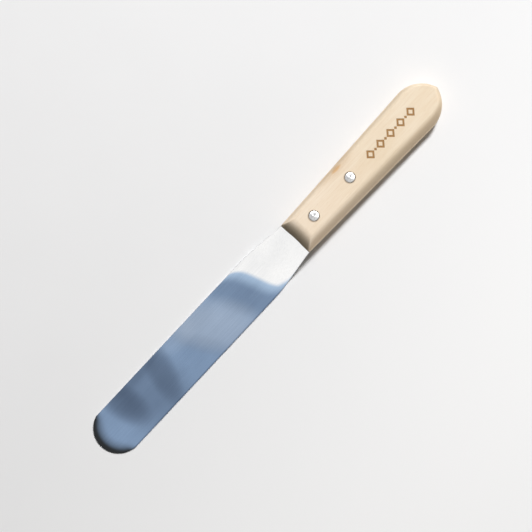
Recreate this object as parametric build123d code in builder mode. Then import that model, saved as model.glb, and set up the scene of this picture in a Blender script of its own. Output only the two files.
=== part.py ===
"""Cranked palette knife with a full-round spring-steel blade and a riveted beech handle.

The knife lies as it does on a bench: the blade's underside is on Z = 0, +X runs from the blade's
round end to the handle's butt, and the origin is under the middle of its length. The neck is
cranked, so the handle stands clear of the bench at its front and touches it at its butt.
"""
from build123d import *
import os
from math import cos, radians, sin

# Driving dimensions, in millimetres and degrees
overall_length = 283.7
exposed_steel = 164.1       # from the round end to the front of the handle
blade_width = 29.2
end_skew = 4.3              # the round end meets the +Y edge this far ahead of the -Y edge
steel_thickness = 1.2       # at the heel, the neck and the tang
tip_thickness = 0.7         # the blade is taper ground towards its round end
neck_width = 22.3           # where the steel enters the handle
neck_taper_length = 28.0
heel_radius = 90.0          # rounds the blade's edge into the tapered neck
crank_angle = 28.0
heel_bend_radius = 22.0
front_bend_radius = 7.0
bevel_width = 3.0           # ground crescent on the upper side of the round end
bevel_drop = 0.35

handle_thickness = 14.0
handle_front_width = 22.4
handle_rear_width = 27.9
cheek_length = 100.9        # straight sides, before the pointed butt
handle_pitch = 1.8          # the handle slopes down to its butt
bottom_contact = 113.2      # where the handle's underside meets the bench, from its front
edge_inset = 5.2            # bevel all round the upper and the lower face
edge_drop = 4.4
crest_radius = 2.6          # between the bevel and the face
side_radius = 1.2           # between the bevel and the side

tang_length = 58.0
tang_inset = 0.15           # the tang's edge lies just inside the handle's sides
tang_corner_radius = 5.0
kerf_clearance = 0.05       # on each side of the tang
kerf_end_gap = 1.0
level_tolerance = 0.01      # for choosing edges by their height

rivet_places = {"front": 16.9, "rear": 47.1}    # behind the handle's front
rivet_offset = 1.1          # the rivets stand a little to the +Y side of the middle
rivet_head_radius = 3.3
rivet_head_thickness = 1.2
rivet_rim_width = 0.45
rivet_rim_drop = 0.18
sleeve_radius = 2.0
sleeve_bore_radius = 1.45
sleeve_reach = 1.5          # how far the sleeve goes past the middle of the handle
stud_radius = 1.4
stud_end_gap = 0.6
rivet_hole_radius = 2.05
tang_hole_radius = 2.15
counterbore_radius = 3.35
counterbore_depth = 1.25

# Places worked out from them
tip_x = -overall_length / 2
front_x = tip_x + exposed_steel
blade_half = blade_width / 2
end_radius = (blade_width**2 + end_skew**2) / (2 * blade_width)
end_centre = (tip_x + end_radius, end_radius - blade_half)
half_thickness = handle_thickness / 2
steel_middle = steel_thickness / 2
pitch = radians(handle_pitch)
crank = radians(crank_angle)
side_half = half_thickness - edge_drop
handle_length = (overall_length - exposed_steel - side_half * sin(pitch)) / cos(pitch)
front_height = half_thickness * cos(pitch) + bottom_contact * sin(pitch)

# The crank: a bend up at the heel, a straight ramp and a bend back into the handle
heel_bend_rise = heel_bend_radius * (1 - cos(crank))
front_bend_rise = front_bend_radius * (cos(pitch) - cos(crank))
ramp_rise = front_height - steel_middle - heel_bend_rise - front_bend_rise
ramp_length = ramp_rise / sin(crank)
crank_reach = (
    heel_bend_radius * sin(crank)
    + ramp_length * cos(crank)
    + front_bend_radius * (sin(crank) + sin(pitch))
)
heel_x = front_x - crank_reach

# The handle's own frame: along its middle plane from its front, and its two faces
handle_plane = Plane(
    origin=(front_x, 0, front_height),
    x_dir=(cos(pitch), 0, -sin(pitch)),
    z_dir=(sin(pitch), 0, cos(pitch)),
)
upper_face = handle_plane.offset(half_thickness)
lower_face = Plane(
    origin=handle_plane.offset(-half_thickness).origin,
    x_dir=handle_plane.x_dir,
    z_dir=-handle_plane.z_dir,
)
handle_up = Axis(handle_plane.origin, handle_plane.z_dir)

os.makedirs("parts", exist_ok=True)

# Blade, neck and half tang, stamped from one strip of spring steel
with BuildPart() as blade:
    # the strip seen from the side
    with BuildSketch(Plane.XZ) as strip:
        with BuildLine():
            flat = Line((tip_x, 0), (heel_x, 0))
            heel_bend = JernArc(flat @ 1, flat % 1, heel_bend_radius + steel_middle, crank_angle)
            ramp = PolarLine(heel_bend @ 1, ramp_length, direction=heel_bend % 1)
            front_bend = JernArc(
                ramp @ 1, ramp % 1, front_bend_radius - steel_middle, -crank_angle - handle_pitch
            )
            PolarLine(front_bend @ 1, tang_length, direction=front_bend % 1)
            offset(amount=steel_thickness, side=Side.LEFT)
        make_face()
    extrude(amount=blade_width, both=True)

    # taper grinding on the upper side of the blade
    with BuildSketch(Plane.XZ) as grind:
        with BuildLine():
            Polyline(
                (tip_x, tip_thickness),
                (heel_x, steel_thickness),
                (heel_x, 2 * steel_thickness),
                (tip_x, 2 * steel_thickness),
                close=True,
            )
        make_face()
    extrude(amount=blade_width, both=True, mode=Mode.SUBTRACT)

    # the outline seen from above
    tang_end_x = front_x + tang_length
    side_slope = (handle_rear_width - handle_front_width) / 2 / cheek_length
    tang_front_half = handle_front_width / 2 - tang_inset
    tang_end_half = tang_front_half + side_slope * tang_length
    with BuildSketch(Plane.XY) as outline:
        with BuildLine():
            round_end = TangentArc(
                (end_centre[0], -blade_half), (end_centre[0] - end_skew, blade_half), tangent=(-1, 0)
            )
            FilletPolyline(
                round_end @ 1,
                (front_x - neck_taper_length, blade_half),
                (front_x, neck_width / 2),
                (tang_end_x, tang_end_half),
                (tang_end_x, -tang_end_half),
                (front_x, -neck_width / 2),
                (front_x - neck_taper_length, -blade_half),
                round_end @ 0,
                radius=[heel_radius] + 4 * [tang_corner_radius] + [heel_radius],
            )
        make_face()
    extrude(amount=front_height + steel_thickness, mode=Mode.INTERSECT)

    # crescent bevel round the end, widest at the tip and running out at the sides
    bevel_x = end_centre[0] + bevel_width
    bevel_middle = end_centre[1] + end_radius
    with BuildSketch(Plane.YZ.offset(bevel_x)) as bevel:
        with BuildLine():
            Polyline(
                (bevel_middle - bevel_width, tip_thickness + bevel_drop),
                (bevel_middle + bevel_width, tip_thickness - bevel_drop),
                (bevel_middle + bevel_width, 2 * steel_thickness),
                (bevel_middle - bevel_width, 2 * steel_thickness),
                close=True,
            )
        make_face()
    bevel_axis = Axis((bevel_x, end_centre[1], 0), (0, 0, 1))
    revolve(axis=bevel_axis, revolution_arc=180, mode=Mode.SUBTRACT)

    # the two rivet holes through the tang
    with Locations(handle_plane):
        with Locations(*[(distance, rivet_offset) for distance in rivet_places.values()]):
            Hole(radius=tang_hole_radius, depth=steel_thickness)
blade.part.label = "blade"
export_step(blade.part, "parts/blade.step")

# Handle: one piece of beech, bevelled all round, with a pointed butt
with BuildPart() as handle:
    with BuildSketch(handle_plane) as handle_outline:
        with BuildLine():
            cheek = Line((0, handle_front_width / 2), (cheek_length, handle_rear_width / 2))
            TangentArc(cheek @ 1, (handle_length, 0), tangent=cheek % 1)
            mirror(about=Plane.XZ)
            Line((0, -handle_front_width / 2), (0, handle_front_width / 2))
        make_face()
    extrude(amount=half_thickness, both=True)
    for end in (-1, 0):
        flat_face = handle.faces().sort_by(handle_up)[end]
        chamfer(flat_face.edges(), length=edge_inset, length2=edge_drop, reference=flat_face)
    for end in (-1, 0):
        flat_face = handle.faces().sort_by(handle_up)[end]
        fillet(flat_face.edges(), radius=crest_radius)
    for level in (-side_half, side_half):
        edge_plane = handle_plane.offset(level)
        side_edges = handle.edges().filter_by(
            lambda edge: abs(edge_plane.to_local_coords(edge.center()).Z) < level_tolerance
        )
        fillet(side_edges, radius=side_radius)

    # saw kerf for the tang, open at the front and at both sides
    with BuildSketch(handle_plane):
        with Locations(((tang_length + kerf_end_gap) / 2, 0)):
            Rectangle(tang_length + kerf_end_gap, 2 * handle_rear_width)
    extrude(amount=steel_middle + kerf_clearance, both=True, mode=Mode.SUBTRACT)

    # rivet holes, counterbored from both faces
    for face_plane, offset_on_face in ((upper_face, rivet_offset), (lower_face, -rivet_offset)):
        with Locations(face_plane):
            with Locations(*[(distance, offset_on_face) for distance in rivet_places.values()]):
                CounterBoreHole(
                    radius=rivet_hole_radius,
                    counter_bore_radius=counterbore_radius,
                    counter_bore_depth=counterbore_depth,
                    depth=half_thickness,
                )
handle.part.label = "handle"
export_step(handle.part, "parts/handle.step")

# Rivets: two compression rivets, each a hollow sleeve from above and a stud pressed in from below
head_base = half_thickness - rivet_head_thickness
rim_height = half_thickness - rivet_rim_drop
rim_radius = rivet_head_radius - rivet_rim_width
for place, distance in rivet_places.items():
    centre = handle_plane.from_local_coords((distance, rivet_offset, 0))
    section = Plane(origin=centre, x_dir=handle_plane.x_dir, z_dir=-handle_plane.y_dir)
    rivet_axis = Axis(centre, handle_plane.z_dir)

    with BuildPart() as rivet_sleeve:
        with BuildSketch(section) as sleeve_section:
            with BuildLine():
                Polyline(
                    (0, half_thickness),
                    (rim_radius, half_thickness),
                    (rivet_head_radius, rim_height),
                    (rivet_head_radius, head_base),
                    (sleeve_radius, head_base),
                    (sleeve_radius, -sleeve_reach),
                    (sleeve_bore_radius, -sleeve_reach),
                    (sleeve_bore_radius, head_base),
                    (0, head_base),
                    close=True,
                )
            make_face()
        revolve(axis=rivet_axis)
    rivet_sleeve.part.label = place + "_rivet_sleeve"
    export_step(rivet_sleeve.part, "parts/" + place + "_rivet_sleeve.step")

    with BuildPart() as rivet_stud:
        with BuildSketch(section) as stud_section:
            with BuildLine():
                Polyline(
                    (0, -half_thickness),
                    (rim_radius, -half_thickness),
                    (rivet_head_radius, -rim_height),
                    (rivet_head_radius, -head_base),
                    (stud_radius, -head_base),
                    (stud_radius, head_base - stud_end_gap),
                    (0, head_base - stud_end_gap),
                    close=True,
                )
            make_face()
        revolve(axis=rivet_axis)
    rivet_stud.part.label = place + "_rivet_stud"
    export_step(rivet_stud.part, "parts/" + place + "_rivet_stud.step")
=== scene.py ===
"""The looks of a cranked palette knife: spring-steel blade, beech handle and turned rivets."""
import math

import bmesh
import bpy
import numpy as np
from mathutils import Matrix, Vector


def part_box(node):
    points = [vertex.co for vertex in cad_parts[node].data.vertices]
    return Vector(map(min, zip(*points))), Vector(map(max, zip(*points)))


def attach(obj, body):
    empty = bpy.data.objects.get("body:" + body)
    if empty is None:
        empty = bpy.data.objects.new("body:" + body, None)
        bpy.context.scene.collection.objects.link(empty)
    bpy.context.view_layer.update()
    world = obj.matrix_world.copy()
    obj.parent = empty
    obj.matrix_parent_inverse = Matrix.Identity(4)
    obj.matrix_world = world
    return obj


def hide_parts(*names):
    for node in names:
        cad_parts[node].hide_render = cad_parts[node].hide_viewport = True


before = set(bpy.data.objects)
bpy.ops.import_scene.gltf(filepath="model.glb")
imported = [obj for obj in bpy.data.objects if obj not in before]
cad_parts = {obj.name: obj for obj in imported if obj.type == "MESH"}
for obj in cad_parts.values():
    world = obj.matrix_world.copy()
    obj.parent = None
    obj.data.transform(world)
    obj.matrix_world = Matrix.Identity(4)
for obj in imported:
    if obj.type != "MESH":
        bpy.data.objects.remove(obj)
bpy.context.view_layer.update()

# Lengths are in metres and angles in radians. They come from the frame's boxes where they can
MM = 0.001
blade_low, blade_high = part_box("blade")
handle_low, handle_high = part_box("handle")

# Blade and neck
TIP_X = blade_low.x
TANG_END_X = blade_high.x
BLADE_HALF = blade_high.y
END_SKEW = 4.3 * MM
END_RADIUS = BLADE_HALF + END_SKEW**2 / (4 * BLADE_HALF)
END_CENTRE = Vector((TIP_X + END_RADIUS, END_RADIUS - BLADE_HALF))
TIP_THICKNESS = 0.7 * MM
STEEL = 1.2 * MM
FRONT_X = handle_low.x + 0.054 * MM
NECK_HALF = 11.15 * MM
NECK_TAPER = 28.0 * MM
HEEL_BLEND = 0.7 * MM       # rounds the edge where the blade turns into the neck
END_BLEND = 0.25 * MM       # rounds the edge where the round end meets the +Y side
CRANK = math.radians(28.0)
HEEL_BEND = 22.0 * MM
FRONT_BEND = 7.0 * MM
BEVEL_WIDTH = 3.0 * MM
BEVEL_DROP = 0.35 * MM
BEVEL_BLEND = 0.12 * MM
TANG_INSET = 0.15 * MM
TANG_HOLE_RADIUS = 2.15 * MM
EDGE_ROUNDING = 0.28 * MM

# Handle. Its bevel is wide on the -Y side and narrow on the +Y side
PITCH = math.radians(1.8)
HALF_THICKNESS = 7.0 * MM
FRONT_HALF = 11.2 * MM
REAR_HALF = handle_high.y
CHEEK_LENGTH = 100.9 * MM
FRONT_HEIGHT = blade_high.z - STEEL / 2
WIDE_INSET = 5.9 * MM
WIDE_DROP = 5.2 * MM
NARROW_INSET = 3.0 * MM
NARROW_DROP = 3.2 * MM
BUTT_DROP = 2.6 * MM
WIDE_BUTT_INSET = 2.6 * MM
NARROW_BUTT_INSET = 1.2 * MM
BUTT_LEAN = (HALF_THICKNESS - BUTT_DROP) * math.sin(PITCH)
HANDLE_LENGTH = (handle_high.x - FRONT_X - BUTT_LEAN) / math.cos(PITCH)
LEAN_WIDTH = 8.0 * MM       # over which the wide bevel's sizes turn into the narrow one's
BUTT_TURN = 1.0             # angle over which the sides' bevels turn into the butt's
BEVEL_CURVE = 1.7
SIDE_ROUNDING = 0.9 * MM
RAMP_REACH = 9.0 * MM       # the rounded ramp at the handle's front
RAMP_DROP = 6.35 * MM
RAMP_BOW = 1.1 * MM
CORNER_POWER = 4
KERF_LENGTH = 59.0 * MM
KERF_HALF = 0.65 * MM
BENCH_GAP = 0.005 * MM      # keeps the handle's underside above the bench
CLEARANCE = 1.0 * MM        # how far a cutter stands out of what it cuts
MERGE_DISTANCE = 0.002 * MM  # closes the seams between a mesh's grids
LEAST_EDGE = 0.001 * MM

# Rivets
RIVETS = {"front": 16.9 * MM, "rear": 47.1 * MM}
RIVET_OFFSET = 1.1 * MM
HEAD_RADIUS = 3.08 * MM
HEAD_THICKNESS = 1.2 * MM
CROWN = 0.24 * MM
RIM_WIDTH = 0.45 * MM
RIM_DROP = 0.4 * MM
HOLE_RADIUS = 2.05 * MM
COUNTERBORE_RADIUS = 3.25 * MM
COUNTERBORE_DEPTH = 1.25 * MM
SLEEVE_RADIUS = 2.0 * MM
SLEEVE_BORE = 1.45 * MM
SLEEVE_REACH = 1.5 * MM
STUD_RADIUS = 1.4 * MM
STUD_GAP = 0.6 * MM

# Burnt-in ornament: a row of open lozenges with small solid ones between them
LOZENGE_COUNT = 5
LOZENGE = Vector((3.1, 3.3)) * MM
LOZENGE_LINE = 1.15 * MM
BEAD = Vector((1.0, 1.0)) * MM
ORNAMENT_START = 61.7 * MM
ORNAMENT_STEP = 8.4 * MM
ORNAMENT_Y = 1.5 * MM
ORNAMENT_DEPTH = 0.15 * MM

# The handle's own frame: x along its middle plane from its front, z out of its upper face
HANDLE_FRAME = Matrix.Translation((FRONT_X, 0, FRONT_HEIGHT)) @ Matrix.Rotation(PITCH, 4, "Y")


# ---------------------------------------------------------------- mesh helpers

def make_object(name, mesh):
    """Links a mesh to the scene as an object."""
    made = bpy.data.objects.new(name, mesh)
    bpy.context.scene.collection.objects.link(made)
    return made


def mesh_from_grids(name, grids):
    """One closed mesh from grids of points that share their borders."""
    made = bmesh.new()
    for points in grids:
        rows, columns = points.shape[:2]
        verts = [[made.verts.new(points[i, j]) for j in range(columns)] for i in range(rows)]
        for i in range(rows - 1):
            for j in range(columns - 1):
                made.faces.new((verts[i][j], verts[i + 1][j], verts[i + 1][j + 1], verts[i][j + 1]))
    bmesh.ops.remove_doubles(made, verts=made.verts, dist=MERGE_DISTANCE)
    bmesh.ops.dissolve_degenerate(made, edges=made.edges, dist=LEAST_EDGE)
    bmesh.ops.recalc_face_normals(made, faces=made.faces)
    mesh = bpy.data.meshes.new(name)
    made.to_mesh(mesh)
    made.free()
    mesh.polygons.foreach_set("use_smooth", [True] * len(mesh.polygons))
    return mesh


def close_layers(layers):
    """The grids that close a stack of layers: the first, the last, and a strip along each border."""
    borders = ((0, slice(None)), (-1, slice(None)), (slice(None), 0), (slice(None), -1))
    return [layers[0], layers[-1]] + [np.stack([points[edge] for points in layers]) for edge in borders]


def smooth_step(t):
    """0 below 0, 1 above 1, and a smooth rise between them."""
    t = np.clip(t, 0, 1)
    return t * t * (3 - 2 * t)


def smooth_min(a, b, width):
    """The lower of a and b, blended over a width where they cross."""
    h = np.clip(0.5 + 0.5 * (b - a) / width, 0, 1)
    return b * (1 - h) + a * h - width * h * (1 - h)


# ---------------------------------------------------------------- blade

def crank_line():
    """Points (x, z, slope angle) along the steel's underside, from the tip to the tang's end."""
    heel_radius = HEEL_BEND + STEEL / 2
    front_radius = FRONT_BEND - STEEL / 2
    under_front = FRONT_HEIGHT - STEEL / 2 * math.cos(PITCH)
    heel_rise = heel_radius * (1 - math.cos(CRANK))
    front_rise = front_radius * (math.cos(PITCH) - math.cos(CRANK))
    ramp = (under_front - heel_rise - front_rise) / math.sin(CRANK)
    front_x = FRONT_X - STEEL / 2 * math.sin(PITCH)
    reach = heel_radius * math.sin(CRANK) + ramp * math.cos(CRANK)
    reach += front_radius * (math.sin(CRANK) + math.sin(PITCH))
    heel_x = front_x - reach
    points = [(TIP_X, 0, 0), (heel_x, 0, 0)]
    for turn in np.linspace(0, CRANK, 13)[1:]:
        points.append((heel_x + heel_radius * math.sin(turn), heel_radius * (1 - math.cos(turn)), turn))
    x, z, _ = points[-1]
    points.append((x + ramp * math.cos(CRANK), z + ramp * math.sin(CRANK), CRANK))
    x, z, _ = points[-1]
    for turn in np.linspace(CRANK, -PITCH, 11)[1:]:
        points.append((
            x + front_radius * (math.sin(CRANK) - math.sin(turn)),
            z + front_radius * (math.cos(turn) - math.cos(CRANK)),
            turn,
        ))
    x, z, _ = points[-1]
    run = TANG_END_X + EDGE_ROUNDING - x
    points.append((x + run, z - run * math.tan(PITCH), -PITCH))
    return heel_x, np.array(points)


HEEL_X, CRANK_LINE = crank_line()


def on_steel(x, y, height):
    """The point at a height above the steel's underside, square to it."""
    under = np.interp(x, CRANK_LINE[:, 0], CRANK_LINE[:, 1])
    slope = np.interp(x, CRANK_LINE[:, 0], CRANK_LINE[:, 2])
    return np.stack([x - height * np.sin(slope), y, under + height * np.cos(slope)], axis=-1)


def blade_edge(x, side):
    """The steel's edge in plan, out from the middle: skewed round end, taper to the neck, tang."""
    reach = np.sqrt(np.clip(END_RADIUS**2 - (END_CENTRE.x - x) ** 2, 0, None))
    end = np.where(x < END_CENTRE.x, reach, END_RADIUS) + side * END_CENTRE.y
    taper = BLADE_HALF - (x - FRONT_X + NECK_TAPER) * (BLADE_HALF - NECK_HALF) / NECK_TAPER
    tang_slope = (REAR_HALF - FRONT_HALF) / CHEEK_LENGTH
    tang = FRONT_HALF - TANG_INSET + (x - FRONT_X) * tang_slope
    neck = smooth_min(taper, np.full_like(x, BLADE_HALF), HEEL_BLEND)
    body = np.where(x < FRONT_X, np.maximum(neck, FRONT_HALF - TANG_INSET), tang)
    return smooth_min(end, body, END_BLEND)


def edge_normal(x, side):
    """The outward direction of the steel's edge in plan."""
    step = 0.01 * MM
    slope = (blade_edge(x + step, side) - blade_edge(x - step, side)) / (2 * step)
    return -slope / np.hypot(1, slope), 1 / np.hypot(1, slope)


def steel_thickness(x, y):
    """Taper ground towards the tip, with a soft crescent bevel round the end."""
    ground = TIP_THICKNESS + (STEEL - TIP_THICKNESS) * (x - TIP_X) / (HEEL_X - TIP_X)
    ground = np.minimum(ground, STEEL)
    bevel_x = END_CENTRE.x + BEVEL_WIDTH
    reach = np.hypot(bevel_x - x, y - END_CENTRE.y)
    slope = BEVEL_DROP / BEVEL_WIDTH
    bevel = np.where(x < bevel_x, TIP_THICKNESS - (reach - END_RADIUS) * slope, STEEL * 2)
    return smooth_min(bevel, ground, BEVEL_BLEND)


def make_blade():
    """The steel as one closed mesh with rounded edges."""
    turns = np.radians(np.linspace(4, 90, 44))
    tip_rows = TIP_X + END_RADIUS * (1 - np.cos(turns))
    flat_rows = np.arange(tip_rows[-1] + 3 * MM, HEEL_X - 1 * MM, 3 * MM)
    neck_rows = np.arange(HEEL_X, FRONT_X + 3 * MM, 0.8 * MM)
    tang_rows = np.linspace(FRONT_X + 4 * MM, TANG_END_X, 12)
    rows = np.concatenate([tip_rows, flat_rows, neck_rows, tang_rows])
    from_edge = np.array([0, 0.012, 0.04, 0.09, 0.16, 0.25, 0.36, 0.48, 0.6, 0.72, 0.86])
    across = np.concatenate([from_edge - 1, [0], (1 - from_edge)[::-1]])
    left_x, left_y = edge_normal(rows, 1)
    right_x, right_y = edge_normal(rows, -1)

    def layer(inset, height_of):
        """A grid of points whose border lies at an inset from the outline."""
        left = np.stack([rows - inset * left_x, blade_edge(rows, 1) - inset * left_y], axis=-1)
        right = np.stack([rows - inset * right_x, inset * right_y - blade_edge(rows, -1)], axis=-1)
        share = (across[None, :, None] + 1) / 2
        plan = right[:, None] * (1 - share) + left[:, None] * share
        x, y = plan[..., 0], plan[..., 1]
        return on_steel(x, y, height_of(x, y))

    arc = np.radians(np.linspace(0, 90, 6))
    top_layers = [
        layer(EDGE_ROUNDING * (1 - math.cos(a)),
              lambda x, y, a=a: steel_thickness(x, y) - EDGE_ROUNDING * (1 - math.sin(a)))
        for a in arc[::-1]
    ]
    low_layers = [
        layer(EDGE_ROUNDING * (1 - math.cos(a)),
              lambda x, y, a=a: np.full_like(x, EDGE_ROUNDING * (1 - math.sin(a))))
        for a in arc
    ]
    mesh = mesh_from_grids("blade_steel", close_layers(top_layers + low_layers))
    return make_object("blade_steel", mesh)


# ---------------------------------------------------------------- handle

def butt_arc():
    """Centre and radius of the arc that runs from the straight cheek to the point of the butt."""
    slope = math.atan((REAR_HALF - FRONT_HALF) / CHEEK_LENGTH)
    normal = Vector((-math.sin(slope), math.cos(slope)))
    start = Vector((CHEEK_LENGTH, REAR_HALF))
    chord = Vector((HANDLE_LENGTH, 0)) - start
    radius = chord.length_squared / (-2 * chord.dot(normal))
    return start - radius * normal, radius


BUTT_CENTRE, BUTT_RADIUS = butt_arc()


def handle_half_width(x):
    """Half the handle's width: a straight taper, then the arc of the pointed butt."""
    cheek = FRONT_HALF + (REAR_HALF - FRONT_HALF) * x / CHEEK_LENGTH
    across = np.sqrt(np.clip(BUTT_RADIUS**2 - (x - BUTT_CENTRE.x) ** 2, 0, None)) + BUTT_CENTRE.y
    return np.where(x < CHEEK_LENGTH, cheek, np.clip(across, 0, None))


def side_drop(distance, inset, drop):
    """How far the face has dropped at a distance from a side edge. The bevel steepens outwards."""
    return drop * np.clip(1 - distance / inset, 0, 1) ** BEVEL_CURVE


def front_drop(x, y):
    """The drop of the rounded ramp that runs down to the steel. It bows back in the middle."""
    distance = x + RAMP_BOW * (y / FRONT_HALF) ** 2
    return RAMP_DROP * np.clip(1 - distance / RAMP_REACH, 0, 1) ** 2


def bevelled_height(x, y):
    """Height of the upper face over the middle plane: flat, with a curved bevel along every edge."""
    slope = math.atan((REAR_HALF - FRONT_HALF) / CHEEK_LENGTH)
    straight = (FRONT_HALF - np.abs(y)) * math.cos(slope) + x * math.sin(slope)
    out_x, out_y = x - BUTT_CENTRE.x, np.abs(y) - BUTT_CENTRE.y
    angle = np.arctan2(out_x, out_y)
    edge = np.where(angle < -slope, straight, BUTT_RADIUS - np.hypot(out_x, out_y))
    along = smooth_step((angle + slope) / BUTT_TURN)
    lean = smooth_step(0.5 + y / LEAN_WIDTH)
    inset = WIDE_INSET + (NARROW_INSET - WIDE_INSET) * lean
    butt_inset = WIDE_BUTT_INSET + (NARROW_BUTT_INSET - WIDE_BUTT_INSET) * lean
    drop = WIDE_DROP + (NARROW_DROP - WIDE_DROP) * lean
    side = side_drop(edge, inset + (butt_inset - inset) * along, drop + (BUTT_DROP - drop) * along)
    both = (side**CORNER_POWER + front_drop(x, y) ** CORNER_POWER) ** (1 / CORNER_POWER)
    return HALF_THICKNESS - both


def make_handle_body():
    """The handle's outer shape as one closed mesh, in its own frame."""
    rows = np.concatenate([
        np.linspace(0, 9.6, 33) * MM,
        np.linspace(11, 100, 46) * MM,
        BUTT_CENTRE.x + (HANDLE_LENGTH - BUTT_CENTRE.x) * np.sin(np.radians(np.linspace(1, 89.2, 44))),
    ])
    half = handle_half_width(rows)
    bevel_steps = np.concatenate([np.linspace(0, 5.2, 18), [5.5, 6.0, 6.8, 8.0]]) * MM
    middle = np.linspace(0, 1, 5)[1:-1]
    narrow_half = 10 * MM       # where the butt is narrower, the bevel's columns draw together
    shrink = np.minimum(1, half / narrow_half)
    y_rows = []
    for width, small in zip(half, shrink):
        from_edge = width - bevel_steps * small
        centre = from_edge[-1] * (1 - middle)
        right = np.concatenate([from_edge, centre])
        y_rows.append(np.concatenate([right, [0], -right[::-1]]))
    y = np.array(y_rows)
    x = rows[:, None] + 0 * y

    def drawn_in(inset):
        """The grid's plan, with its border drawn in a little."""
        x_in = x.copy()
        x_in[0] = inset
        x_in[-1] = rows[-1] - inset
        return x_in, y * ((half - inset) / half)[:, None]

    least_height = 0.05 * MM
    upper = []
    for a in np.radians(np.linspace(90, 0, 6)):
        x_in, y_in = drawn_in(SIDE_ROUNDING / 2 * (1 - math.cos(a)))
        height = np.maximum(bevelled_height(x, y) - SIDE_ROUNDING * (1 - math.sin(a)), least_height)
        upper.append(np.stack([x_in, y_in, height], axis=-1))
    lower = []
    for points in upper[::-1]:
        bench = (points[..., 0] * math.sin(PITCH) - FRONT_HEIGHT) / math.cos(PITCH)
        under = np.maximum(-points[..., 2], bench + BENCH_GAP)
        lower.append(np.stack([points[..., 0], points[..., 1], under], axis=-1))
    mesh = mesh_from_grids("handle_wood", close_layers(upper + lower))
    return make_object("handle_wood", mesh)


def prism(name, outline, low, high):
    """A closed prism over an outline of (x, y) points."""
    made = bmesh.new()
    lower = [made.verts.new((x, y, low)) for x, y in outline]
    upper = [made.verts.new((x, y, high)) for x, y in outline]
    count = len(outline)
    made.faces.new(lower[::-1])
    made.faces.new(upper)
    for i in range(count):
        j = (i + 1) % count
        made.faces.new((lower[i], lower[j], upper[j], upper[i]))
    bmesh.ops.recalc_face_normals(made, faces=made.faces)
    mesh = bpy.data.meshes.new(name)
    made.to_mesh(mesh)
    made.free()
    return make_object(name, mesh)


def circle(centre_x, centre_y, radius, count=96):
    """Points round a circle."""
    turns = np.linspace(0, 2 * math.pi, count, endpoint=False)
    return [(centre_x + radius * math.cos(a), centre_y + radius * math.sin(a)) for a in turns]


def rectangle(low, high):
    """The corners of a rectangle, anticlockwise."""
    return [(low.x, low.y), (high.x, low.y), (high.x, high.y), (low.x, high.y)]


def cut(target, cutter, material=None):
    """Takes the cutter's shape out of the target, and gives the new faces a material."""
    if material is not None:
        cutter.data.materials.append(material)
    modifier = target.modifiers.new("cut", "BOOLEAN")
    modifier.operation = "DIFFERENCE"
    modifier.solver = "EXACT"
    modifier.material_mode = "TRANSFER"
    modifier.object = cutter
    bpy.context.view_layer.objects.active = target
    bpy.ops.object.modifier_apply(modifier=modifier.name)
    bpy.data.objects.remove(cutter)


# ---------------------------------------------------------------- materials

class Nodes:
    """A short way to write node trees."""

    def __init__(self, tree):
        self.tree = tree

    def add(self, kind, **settings):
        made = self.tree.nodes.new(kind)
        for key, value in settings.items():
            setattr(made, key, value)
        return made

    def link(self, output, socket):
        self.tree.links.new(output, socket)

    def set(self, socket, value):
        """Sets a socket to a number or links a node's output to it."""
        if isinstance(value, bpy.types.NodeSocket):
            self.link(value, socket)
        else:
            socket.default_value = value

    def millimetres(self, scale=(1, 1, 1), place=(0, 0, 0)):
        """Object coordinates in millimetres, stretched by a scale."""
        coordinates = self.add("ShaderNodeTexCoord")
        mapping = self.add("ShaderNodeMapping")
        mapping.inputs["Location"].default_value = place
        mapping.inputs["Scale"].default_value = [1000 * s for s in scale]
        self.link(coordinates.outputs["Object"], mapping.inputs["Vector"])
        return mapping.outputs["Vector"]

    def noise(self, vector, scale=1.0, detail=2.0, roughness=0.5):
        made = self.add("ShaderNodeTexNoise")
        self.link(vector, made.inputs["Vector"])
        made.inputs["Scale"].default_value = scale
        made.inputs["Detail"].default_value = detail
        made.inputs["Roughness"].default_value = roughness
        return made.outputs["Fac"]

    def math(self, operation, a, b=0.0, c=0.0):
        made = self.add("ShaderNodeMath", operation=operation)
        self.set(made.inputs[0], a)
        self.set(made.inputs[1], b)
        self.set(made.inputs[2], c)
        return made.outputs[0]

    def remap(self, value, from_low, from_high, to_low=0.0, to_high=1.0, smooth=True):
        made = self.add("ShaderNodeMapRange")
        if smooth:
            made.interpolation_type = "SMOOTHSTEP"
        for socket, number in zip(("From Min", "From Max", "To Min", "To Max"),
                                  (from_low, from_high, to_low, to_high)):
            made.inputs[socket].default_value = number
        self.link(value, made.inputs["Value"])
        return made.outputs["Result"]

    def mix(self, share, first, second, blend="MIX"):
        made = self.add("ShaderNodeMix", data_type="RGBA", blend_type=blend)
        self.set(made.inputs["Factor"], share)
        colours = [s for s in made.inputs if s.type == "RGBA"]
        self.set(colours[0], (*first, 1) if isinstance(first, tuple) else first)
        self.set(colours[1], (*second, 1) if isinstance(second, tuple) else second)
        return [s for s in made.outputs if s.type == "RGBA"][0]

    def separate(self, vector):
        made = self.add("ShaderNodeSeparateXYZ")
        self.link(vector, made.inputs[0])
        return made.outputs

    def length(self, x, y):
        """The length of the vector (x, y)."""
        squares = self.math("ADD", self.math("MULTIPLY", x, x), self.math("MULTIPLY", y, y))
        return self.math("SQRT", squares)

    def bump(self, height, strength, distance):
        made = self.add("ShaderNodeBump")
        made.inputs["Strength"].default_value = strength
        made.inputs["Distance"].default_value = distance
        self.link(height, made.inputs["Height"])
        return made.outputs["Normal"]


def new_material(name):
    """A material with a Principled shader. Gives the material, its nodes and the shader."""
    made = bpy.data.materials.new(name)
    made.use_nodes = True
    nodes = Nodes(made.node_tree)
    shader = made.node_tree.nodes["Principled BSDF"]
    return made, nodes, shader


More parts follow.
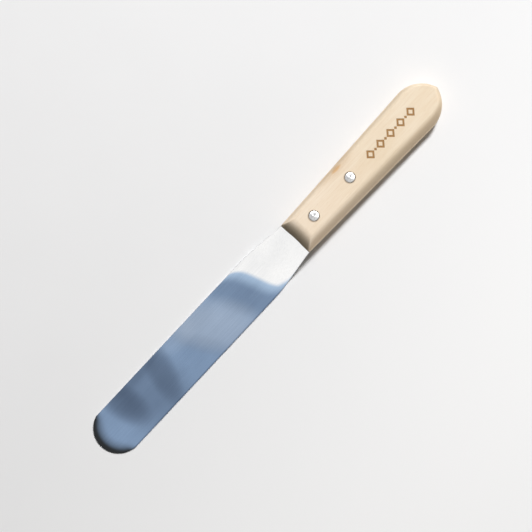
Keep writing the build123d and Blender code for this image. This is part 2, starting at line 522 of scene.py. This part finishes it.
def spot(nodes, x, y, centre, size, lean=0.0):
    """A soft elliptical spot on the plan, 1 at its centre, slanted by a lean."""
    from_y = nodes.math("SUBTRACT", y, centre[1])
    from_x = nodes.math("SUBTRACT", x, centre[0])
    dx = nodes.math("DIVIDE", nodes.math("MULTIPLY_ADD", from_y, lean, from_x), size[0])
    dy = nodes.math("DIVIDE", from_y, size[1])
    reach = nodes.math("ADD", nodes.math("MULTIPLY", dx, dx), nodes.math("MULTIPLY", dy, dy))
    return nodes.remap(reach, 0, 1, 1, 0)


def steel_material():
    """Polished spring steel: fine lengthwise brushing, soft darker bands and a painted shade along the
    -Y edge.
    """
    made, nodes, shader = new_material("blade_steel")
    _, y, _ = nodes.separate(nodes.millimetres())
    drift = nodes.noise(nodes.millimetres((0.03, 0.05, 0.05)), 1.0, 2.0)
    streaks = nodes.noise(nodes.millimetres((0.04, 2.2, 2.2)), 1.0, 4.0, 0.6)
    shade = nodes.remap(drift, 0.25, 0.75, 0.86, 1.0)
    shade = nodes.math("MULTIPLY", shade, nodes.remap(streaks, 0.3, 0.7, 0.93, 1.03))
    colour = nodes.mix(shade, (0.30, 0.33, 0.38), (0.95, 0.945, 0.935))
    # Painted shade: a darker strip along the -Y edge, the side away from the key light
    half = BLADE_HALF / MM
    painted_edge_shade = nodes.remap(nodes.math("MULTIPLY", y, -1.0), half - 1.2, half - 0.2, 0.0, 0.55)
    colour = nodes.mix(painted_edge_shade, colour, (0.15, 0.17, 0.22))
    nodes.set(shader.inputs["Base Color"], colour)
    shader.inputs["Metallic"].default_value = 1.0
    shader.inputs["Anisotropic"].default_value = 0.4
    scratches = nodes.noise(nodes.millimetres((0.15, 9.0, 9.0)), 1.0, 3.0, 0.7)
    nodes.set(shader.inputs["Roughness"], nodes.remap(scratches, 0.3, 0.7, 0.07, 0.13))
    nodes.set(shader.inputs["Normal"], nodes.bump(scratches, 0.04, 0.02 * MM))
    return made


def wood_material():
    """Pale sanded beech: fibres, short darker flecks, a stained patch, darker end grain, and painted
    shade on the front ramp and the long sides.
    """
    made, nodes, shader = new_material("handle_wood")
    x, y, _ = nodes.separate(nodes.millimetres())
    broad = nodes.noise(nodes.millimetres((0.012, 0.16, 0.16)), 1.0, 3.0)
    fibres = nodes.noise(nodes.millimetres((0.06, 1.9, 1.9)), 1.0, 5.0, 0.65)
    flecks = nodes.noise(nodes.millimetres((0.32, 2.6, 2.6), (3.0, 7.0, 1.0)), 1.0, 2.0)
    colour = nodes.mix(nodes.remap(broad, 0.3, 0.7), (0.790, 0.678, 0.530), (0.752, 0.622, 0.460))
    colour = nodes.mix(nodes.remap(x, 95.0, 45.0, 0.0, 0.36), colour, (0.92, 0.80, 0.68))
    colour = nodes.mix(nodes.remap(fibres, 0.35, 0.75, 0.0, 0.35), colour, (0.66, 0.48, 0.30))
    colour = nodes.mix(nodes.remap(flecks, 0.66, 0.76, 0.0, 0.3), colour, (0.52, 0.34, 0.19))
    ragged = nodes.remap(fibres, 0.2, 0.7, 0.4, 1.0)
    tinge = nodes.math("MULTIPLY", spot(nodes, x, y, (67.0, 12.0), (18.0, 6.5)), 0.38)
    colour = nodes.mix(nodes.math("MULTIPLY", tinge, ragged), colour, (0.52, 0.33, 0.17))
    stain = nodes.math("MULTIPLY", spot(nodes, x, y, (67.6, 10.2), (4.6, 1.7)), 0.75)
    colour = nodes.mix(nodes.math("MULTIPLY", stain, ragged), colour, (0.60, 0.32, 0.10))
    # Darker end grain at the front and at the butt. At the front the darkness is partly real end grain
    # and partly painted shade, as the ramp faces away from the light. Then painted shade on the long
    # sides
    facing = nodes.separate(nodes.add("ShaderNodeTexCoord").outputs["Normal"])
    colour = nodes.mix(nodes.remap(facing[0], -0.24, -0.84, 0.0, 0.9), colour, (0.18, 0.138, 0.082))
    colour = nodes.mix(nodes.remap(facing[0], 0.40, 0.95, 0.0, 0.35), colour, (0.45, 0.33, 0.21))
    # Painted shade on the long sides' bevels, wider and stronger on -Y, the side away from the key
    # light
    for low, high, most in ((-0.45, -0.84, 0.72), (0.72, 0.97, 0.6)):
        colour = nodes.mix(nodes.remap(facing[1], low, high, 0.0, most), colour, (0.50, 0.375, 0.245))
    # A darker ring round each rivet's counterbore
    for distance in RIVETS.values():
        centre = HANDLE_FRAME @ Vector((distance, RIVET_OFFSET, 0)) / MM
        from_x = nodes.math("SUBTRACT", x, centre.x)
        from_y = nodes.math("SUBTRACT", y, centre.y)
        hole = COUNTERBORE_RADIUS / MM
        rim = nodes.remap(nodes.length(from_x, from_y), hole, hole + 0.6, 0.42, 0.0)
        colour = nodes.mix(rim, colour, (0.24, 0.17, 0.11))
    nodes.set(shader.inputs["Base Color"], colour)
    nodes.set(shader.inputs["Roughness"], nodes.remap(fibres, 0.3, 0.7, 0.52, 0.66))
    shader.inputs["Specular IOR Level"].default_value = 0.3
    nodes.set(shader.inputs["Normal"], nodes.bump(fibres, 0.25, 0.05 * MM))
    return made


def burnt_material():
    """Wood scorched brown, for the burnt-in ornament."""
    made, nodes, shader = new_material("burnt_wood")
    grain = nodes.noise(nodes.millimetres((0.5, 3.0, 3.0)), 1.0, 4.0, 0.7)
    colour = nodes.mix(nodes.remap(grain, 0.3, 0.7), (0.29, 0.15, 0.055), (0.42, 0.25, 0.11))
    nodes.set(shader.inputs["Base Color"], colour)
    shader.inputs["Roughness"].default_value = 0.8
    shader.inputs["Specular IOR Level"].default_value = 0.15
    nodes.set(shader.inputs["Normal"], nodes.bump(grain, 0.4, 0.05 * MM))
    return made


def rivet_material():
    """Bright metal turned on a lathe, with rings round its middle."""
    made, nodes, shader = new_material("rivet_metal")
    x, y, _ = nodes.separate(nodes.millimetres())
    rings = nodes.math("SINE", nodes.math("MULTIPLY", nodes.length(x, y), 42.0))
    wear = nodes.noise(nodes.millimetres((0.9, 0.9, 0.9)), 1.0, 3.0)
    colour = nodes.mix(nodes.remap(wear, 0.3, 0.7), (0.42, 0.42, 0.43), (0.70, 0.70, 0.69))
    nodes.set(shader.inputs["Base Color"], colour)
    shader.inputs["Metallic"].default_value = 1.0
    shader.inputs["Anisotropic"].default_value = 0.75
    nodes.set(shader.inputs["Roughness"], nodes.remap(wear, 0.2, 0.8, 0.30, 0.40))
    around = nodes.add("ShaderNodeTangent", direction_type="RADIAL", axis="Z")
    nodes.set(shader.inputs["Tangent"], around.outputs["Tangent"])
    nodes.set(shader.inputs["Normal"], nodes.bump(rings, 0.06, 0.02 * MM))
    return made


# Darker places in the sky that the blade mirrors: centre, reach (mm), lean and depth
DARK_CLOUDS = [
    ((-98.5, 3.0), (27.0, 34.0), 0.0, 0.30),
    ((-115.0, 9.0), (12.0, 22.0), 0.12, 0.42),
    ((-86.5, 5.0), (10.5, 25.0), -0.28, 0.33),
    ((-100.0, 17.0), (26.0, 9.0), 0.0, 0.22),
    ((-58.0, -3.0), (7.0, 20.0), 0.5, 0.10),
    ((-23.0, 1.0), (13.0, 30.0), 0.35, 0.20),
]
# Its lighter places
BRIGHT_CLOUDS = [
    ((-45.0, 0.0), (22.0, 30.0), 0.45, 0.17),
    ((-66.0, 14.0), (16.0, 12.0), 0.0, 0.06),
]


def floor_material():
    """Pale matt paper, with a painted light gradient that brightens it towards -Y."""
    made, nodes, shader = new_material("pale_paper")
    grain = nodes.noise(nodes.millimetres((0.02, 0.02, 0.02)), 1.0, 4.0)
    colour = nodes.mix(nodes.remap(grain, 0.2, 0.8), (0.805, 0.81, 0.823), (0.815, 0.82, 0.833))
    # Painted light: the paper gets lighter towards -Y
    _, y, _ = nodes.separate(nodes.millimetres())
    colour = nodes.mix(nodes.remap(y, 60.0, -180.0), colour, (0.90, 0.905, 0.915))
    nodes.set(shader.inputs["Base Color"], colour)
    shader.inputs["Roughness"].default_value = 0.9
    shader.inputs["Specular IOR Level"].default_value = 0.0
    return made


def sky_material():
    """What the blade mirrors: a cool sky that ends in an oblique edge and darkens round the tip."""
    made = bpy.data.materials.new("cool_sky")
    made.use_nodes = True
    nodes = Nodes(made.node_tree)
    made.node_tree.nodes.clear()
    x, y, _ = nodes.separate(nodes.millimetres())
    clouds = nodes.noise(nodes.millimetres((0.022, 0.03, 0.03), (4.0, 1.0, 0.0)), 1.0, 2.0)
    shade = nodes.remap(clouds, 0.3, 0.7, 0.86, 1.0)
    for centre, size, lean, depth in DARK_CLOUDS:
        cloud = nodes.math("MULTIPLY", spot(nodes, x, y, centre, size, lean), depth)
        shade = nodes.math("MULTIPLY", shade, nodes.math("SUBTRACT", 1.0, cloud))
    colour = nodes.mix(shade, (0.006, 0.010, 0.03), (0.255, 0.364, 0.540))
    for centre, size, lean, strength in BRIGHT_CLOUDS:
        cloud = nodes.math("MULTIPLY", spot(nodes, x, y, centre, size, lean), strength)
        colour = nodes.mix(cloud, colour, (0.9, 0.93, 0.95))
    # Dark outside a circle round the blade's end
    dx = nodes.math("SUBTRACT", x, END_CENTRE.x / MM + 3.0)
    dy = nodes.math("SUBTRACT", y, END_CENTRE.y / MM)
    far = nodes.remap(nodes.length(dx, dy), 8.8, 18.5)
    beyond = nodes.math("MULTIPLY", far, nodes.remap(dx, -3.0, -10.0))
    colour = nodes.mix(beyond, colour, (0.03, 0.033, 0.035))
    # The oblique edge runs across the blade and flares at both sides, with a pale band before it
    side = nodes.math("MULTIPLY", y, -MM / BLADE_HALF)
    flare = nodes.math("MULTIPLY", nodes.math("POWER", nodes.math("ABSOLUTE", side), 5.0),
                       nodes.math("SIGN", side))
    edge = nodes.math("MULTIPLY_ADD", side, 4.74, -8.5)
    edge = nodes.math("MULTIPLY_ADD", flare, 5.0, edge)
    from_edge = nodes.math("SUBTRACT", x, edge)
    colour = nodes.mix(nodes.remap(from_edge, -9.5, 0.5, 0.0, 0.78), colour, (0.50, 0.66, 0.86))
    past = nodes.remap(from_edge, -1.7, 1.7)
    light = nodes.add("ShaderNodeEmission")
    nodes.set(light.inputs["Color"], colour)
    clear = nodes.add("ShaderNodeBsdfTransparent")
    mix = nodes.add("ShaderNodeMixShader")
    nodes.set(mix.inputs[0], past)
    nodes.link(light.outputs[0], mix.inputs[1])
    nodes.link(clear.outputs[0], mix.inputs[2])
    output = nodes.add("ShaderNodeOutputMaterial")
    nodes.link(mix.outputs[0], output.inputs["Surface"])
    return made


# ---------------------------------------------------------------- rivets

def lathe(name, profile, place, material):
    """A turned piece: a closed profile of (radius, height) points spun about its own z axis."""
    count = 96
    made = bmesh.new()
    turns = np.linspace(0, 2 * math.pi, count, endpoint=False)
    rings = []
    for radius, height in profile:
        if radius == 0:
            rings.append([made.verts.new((0, 0, height))] * count)
        else:
            points = [(radius * math.cos(a), radius * math.sin(a), height) for a in turns]
            rings.append([made.verts.new(point) for point in points])
    for lower, upper in zip(rings, rings[1:]):
        for i in range(count):
            j = (i + 1) % count
            corners = []
            for vert in (lower[i], lower[j], upper[j], upper[i]):
                if vert not in corners:
                    corners.append(vert)
            made.faces.new(corners)
    bmesh.ops.recalc_face_normals(made, faces=made.faces)
    mesh = bpy.data.meshes.new(name)
    made.to_mesh(mesh)
    made.free()
    mesh.polygons.foreach_set("use_smooth", [True] * len(mesh.polygons))
    mesh.set_sharp_from_angle(angle=math.radians(30))
    mesh.materials.append(material)
    piece = make_object(name, mesh)
    piece.matrix_world = place
    return piece


def head_profile(sign):
    """A rivet head from its middle to its underside: a slight crown and a rounded rim."""
    flat_radius = HEAD_RADIUS - RIM_WIDTH
    points = []
    for share in np.linspace(0, 1, 9):
        points.append((flat_radius * share, HALF_THICKNESS - CROWN * share**2))
    for turn in np.radians(np.linspace(15, 90, 6)):
        points.append((
            flat_radius + RIM_WIDTH * math.sin(turn),
            HALF_THICKNESS - CROWN - RIM_DROP * (1 - math.cos(turn)),
        ))
    points.append((HEAD_RADIUS, HALF_THICKNESS - HEAD_THICKNESS))
    return [(radius, sign * height) for radius, height in points]


def make_rivets(material):
    """Both halves of both rivets, each at its own place."""
    base = HALF_THICKNESS - HEAD_THICKNESS
    made = {}
    for place, distance in RIVETS.items():
        centre = HANDLE_FRAME @ Matrix.Translation((distance, RIVET_OFFSET, 0))
        sleeve = head_profile(1) + [
            (SLEEVE_RADIUS, base), (SLEEVE_RADIUS, -SLEEVE_REACH), (SLEEVE_BORE, -SLEEVE_REACH),
            (SLEEVE_BORE, base), (0, base),
        ]
        stud = head_profile(-1) + [
            (STUD_RADIUS, -base), (STUD_RADIUS, base - STUD_GAP), (0, base - STUD_GAP),
        ]
        made[place + "_rivet_sleeve"] = lathe(place + "_sleeve_turned", sleeve, centre, material)
        made[place + "_rivet_stud"] = lathe(place + "_stud_turned", stud, centre, material)
    return made


# ---------------------------------------------------------------- ornament

def lozenge(centre_x, size):
    """The four corners of a lozenge in the ornament's row."""
    corners = ((size.x, 0), (0, size.y), (-size.x, 0), (0, -size.y))
    return [(centre_x + x, ORNAMENT_Y + y) for x, y in corners]


def open_lozenge(name, centre_x, low, high):
    """A lozenge-shaped ring."""
    made = bmesh.new()
    side_distance = LOZENGE.x * LOZENGE.y / LOZENGE.length
    inner = LOZENGE * (1 - LOZENGE_LINE / side_distance)
    rings = lozenge(centre_x, LOZENGE), lozenge(centre_x, inner)
    levels = [[[made.verts.new((x, y, z)) for x, y in ring] for ring in rings] for z in (low, high)]
    (low_out, low_in), (high_out, high_in) = levels
    for i in range(4):
        j = (i + 1) % 4
        made.faces.new((low_out[i], low_out[j], low_in[j], low_in[i]))
        made.faces.new((high_out[i], high_out[j], high_in[j], high_in[i]))
        made.faces.new((low_out[i], low_out[j], high_out[j], high_out[i]))
        made.faces.new((low_in[i], low_in[j], high_in[j], high_in[i]))
    bmesh.ops.recalc_face_normals(made, faces=made.faces)
    mesh = bpy.data.meshes.new(name)
    made.to_mesh(mesh)
    made.free()
    return make_object(name, mesh)


def burn_ornament(handle):
    """Sinks the row of lozenges into the handle's upper face."""
    burnt = burnt_material()
    low, high = HALF_THICKNESS - ORNAMENT_DEPTH, HALF_THICKNESS + CLEARANCE
    for i in range(LOZENGE_COUNT):
        centre_x = ORNAMENT_START + LOZENGE.x + i * ORNAMENT_STEP
        cut(handle, open_lozenge("lozenge_cutter", centre_x, low, high), burnt)
        if i < LOZENGE_COUNT - 1:
            bead = lozenge(centre_x + ORNAMENT_STEP / 2, BEAD)
            cut(handle, prism("bead_cutter", bead, low, high), burnt)


# ---------------------------------------------------------------- build

def finished_blade():
    """The steel with the two rivet holes through its tang."""
    blade = make_blade()
    blade.data.materials.append(steel_material())
    for distance in RIVETS.values():
        outline = circle(distance, RIVET_OFFSET, TANG_HOLE_RADIUS)
        hole = prism("tang_hole_cutter", outline, -STEEL, STEEL)
        hole.data.transform(HANDLE_FRAME)
        cut(blade, hole)
    return blade


def finished_handle():
    """The handle with its kerf, its rivet holes and its ornament."""
    handle = make_handle_body()
    wood = wood_material()
    handle.data.materials.append(wood)
    kerf_reach = REAR_HALF + CLEARANCE
    kerf = rectangle(Vector((-CLEARANCE, -kerf_reach)), Vector((KERF_LENGTH, kerf_reach)))
    cut(handle, prism("kerf_cutter", kerf, -KERF_HALF, KERF_HALF), wood)
    deep = HALF_THICKNESS + CLEARANCE
    step = HALF_THICKNESS - COUNTERBORE_DEPTH
    for distance in RIVETS.values():
        hole = circle(distance, RIVET_OFFSET, HOLE_RADIUS)
        counterbore = circle(distance, RIVET_OFFSET, COUNTERBORE_RADIUS)
        cut(handle, prism("hole_cutter", hole, -deep, deep), wood)
        cut(handle, prism("upper_cutter", counterbore, step, deep), wood)
        cut(handle, prism("lower_cutter", counterbore, -deep, -step), wood)
    burn_ornament(handle)
    handle.data.set_sharp_from_angle(angle=math.radians(32))
    handle.data.transform(HANDLE_FRAME)
    return handle


pieces = {
    "blade": (finished_blade(), "blade_steel"),
    "handle": (finished_handle(), "handle_wood"),
}
for node, rivet in make_rivets(rivet_material()).items():
    pieces[node] = (rivet, "rivet_metal")
for node, (piece, slot) in pieces.items():
    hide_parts(node)
    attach(piece, "root")

# ---------------------------------------------------------------- camera

# The picture turns the knife so that its butt points up and to the right
TURN = math.radians(46.94)
RIGHT = Vector((math.cos(TURN), -math.sin(TURN), 0))
UP = Vector((math.sin(TURN), math.cos(TURN), 0))
LEAN = math.radians(1.5)
LEAN_SIDE = Vector((0, -1, 0))
DISTANCE = 1.6
VIEW_WIDTH = 0.3077
TARGET = Vector((-0.35 * MM, 2.0 * MM, 0))


def make_camera():
    """A long lens that looks almost straight down."""
    data = bpy.data.cameras.new("camera")
    data.sensor_width = 36
    data.lens = 36 * DISTANCE / VIEW_WIDTH
    data.clip_start = 0.01
    data.clip_end = 20
    camera = make_object("camera", data)
    towards = Vector((0, 0, math.cos(LEAN))) + LEAN_SIDE * math.sin(LEAN)
    right = UP.cross(towards).normalized()
    rotation = Matrix((right, towards.cross(right), towards)).transposed().to_4x4()
    camera.matrix_world = Matrix.Translation(TARGET + towards * DISTANCE) @ rotation
    bpy.context.scene.camera = camera


make_camera()

# ---------------------------------------------------------------- stage and light

FLOOR_HALF = 3.0
FLOOR_THICKNESS = 0.02
FLOOR_GAP = 0.02 * MM       # keeps the floor clear of the knife's underside
CARD_LOW = Vector((-0.23, -0.09))
CARD_HIGH = Vector((0.008, 0.09))
CARD_HEIGHT = 8 * MM        # so low that only the flat blade mirrors it
KEY_TILT = math.radians(39)
KEY_DISTANCE = 2.4
KEY_SIZE = 0.48
KEY_ENERGY = 63


def make_floor():
    """A broad pale floor just under the knife."""
    half = Vector((FLOOR_HALF, FLOOR_HALF))
    floor = prism("floor", rectangle(-half, half), -FLOOR_THICKNESS, 0)
    floor.data.materials.append(floor_material())
    floor.location.z = -FLOOR_GAP


def make_sky_card():
    """A low reflection card over the blade, seen only in glossy metal."""
    mesh = bpy.data.meshes.new("sky_card")
    corners = [(x, y, CARD_HEIGHT) for x, y in rectangle(CARD_LOW, CARD_HIGH)]
    mesh.from_pydata(corners, [], [range(len(corners))])
    mesh.materials.append(sky_material())
    card = make_object("sky_card", mesh)
    card.visible_camera = False
    card.visible_diffuse = False
    card.visible_shadow = False
    card.visible_transmission = False


def make_world():
    """A soft warm world. Reflections see a brighter one that darkens to the knife's sides."""
    world = bpy.data.worlds.new("studio")
    bpy.context.scene.world = world
    world.use_nodes = True
    nodes = Nodes(world.node_tree)
    world.node_tree.nodes.clear()
    soft = nodes.add("ShaderNodeBackground")
    soft.inputs["Color"].default_value = (1.0, 0.935, 0.84, 1)
    soft.inputs["Strength"].default_value = 0.17
    bright = nodes.add("ShaderNodeBackground")
    heading = nodes.add("ShaderNodeTexCoord").outputs["Generated"]
    across = nodes.add("ShaderNodeVectorMath", operation="DOT_PRODUCT")
    across.inputs[1].default_value = (0.42, 0.91, 0.0)
    nodes.link(heading, across.inputs[0])
    sideways = nodes.remap(nodes.math("ABSOLUTE", across.outputs["Value"]), 0.36, 0.85)
    nodes.set(bright.inputs["Color"], nodes.mix(sideways, (1.0, 1.0, 1.0), (0.26, 0.27, 0.29)))
    bright.inputs["Strength"].default_value = 1.01
    ray = nodes.add("ShaderNodeLightPath")
    mix = nodes.add("ShaderNodeMixShader")
    nodes.link(ray.outputs["Is Glossy Ray"], mix.inputs[0])
    nodes.link(soft.outputs[0], mix.inputs[1])
    nodes.link(bright.outputs[0], mix.inputs[2])
    output = nodes.add("ShaderNodeOutputWorld")
    nodes.link(mix.outputs[0], output.inputs["Surface"])


def make_key():
    """The main light, from the top of the picture and a little to its right."""
    data = bpy.data.lights.new("key", "AREA")
    data.shape = "DISK"
    data.size = KEY_SIZE
    data.energy = KEY_ENERGY
    key = make_object("key", data)
    across = UP * 0.90 + RIGHT * 0.44
    towards = Vector((0, 0, math.cos(KEY_TILT))) + across * math.sin(KEY_TILT)
    rotation = towards.to_track_quat("Z", "Y").to_matrix().to_4x4()
    key.matrix_world = Matrix.Translation(towards * KEY_DISTANCE) @ rotation


make_floor()
make_world()
make_key()
make_sky_card()
bpy.context.scene.view_settings.view_transform = "Standard"
